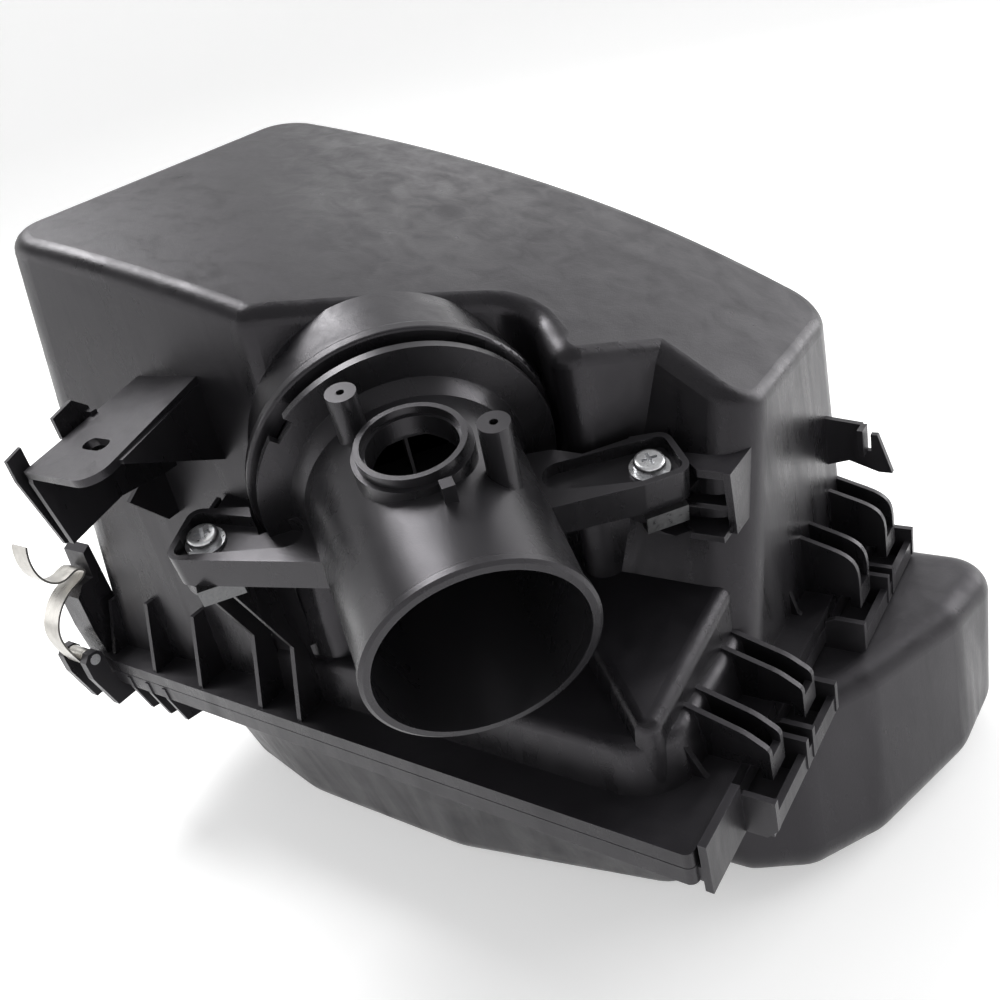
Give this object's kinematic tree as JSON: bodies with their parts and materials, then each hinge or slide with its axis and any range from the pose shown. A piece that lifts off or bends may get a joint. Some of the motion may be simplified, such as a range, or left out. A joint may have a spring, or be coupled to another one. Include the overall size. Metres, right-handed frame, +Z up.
{
  "type": "air filter housing",
  "caption": "Engine air filter box: hinged cap with an air flow tube, lower case with a side resonator, panel filter inside, spring clips.",
  "frame": {"origin": "centre of the filter seat, on the parting plane between the lower case and the cap", "axes": "+X along the long side towards the hinge, +Y across towards the inlet duct, +Z up out of the filter seat"},
  "size_m": [0.3674, 0.2628, 0.2781],
  "materials": {
    "housing_plastic": "moulded, fine grain",
    "tube_plastic": "satin moulded",
    "zinc_steel": "bright zinc plate",
    "spring_steel": "satin",
    "black_rubber": "matt",
    "seal_foam": "moulded polyurethane",
    "filter_paper": "pleated paper"
  },
  "bodies": {
    "case": {"lower_case": "housing_plastic", "resonator_chamber": "housing_plastic", "inlet_duct": "housing_plastic", "inlet_screws": "zinc_steel", "mount_grommets": "black_rubber", "mount_sleeves": "zinc_steel", "drain_plug": "black_rubber", "filter_seal": "seal_foam", "filter_media": "filter_paper", "filter_mesh": "spring_steel", "front_clip_pin": "zinc_steel", "rear_clip_pin": "zinc_steel"},
    "cap": {"cap": "housing_plastic", "air_flow_tube": "tube_plastic", "flow_straightener": "tube_plastic", "tube_o_ring": "black_rubber", "tube_screws": "zinc_steel", "tube_washers": "zinc_steel", "tube_nuts": "zinc_steel"},
    "front_clip": {"front_clip": "spring_steel"},
    "rear_clip": {"rear_clip": "spring_steel"}
  },
  "joints": [
    {"name": "cap_hinge", "type": "hinge", "parent": "case", "child": "cap", "pos_m": [0.151, 0, 0.005], "axis": [0, 1, 0], "range_deg": [0, 60]},
    {"name": "front_clip_swing", "type": "hinge", "parent": "case", "child": "front_clip", "pos_m": [-0.1575, -0.106, 0.01], "axis": [1, 0, 0], "range_deg": [0, 110]},
    {"name": "rear_clip_swing", "type": "hinge", "parent": "case", "child": "rear_clip", "pos_m": [-0.1575, 0.106, 0.01], "axis": [-1, 0, 0], "range_deg": [0, 110]}
  ]
}
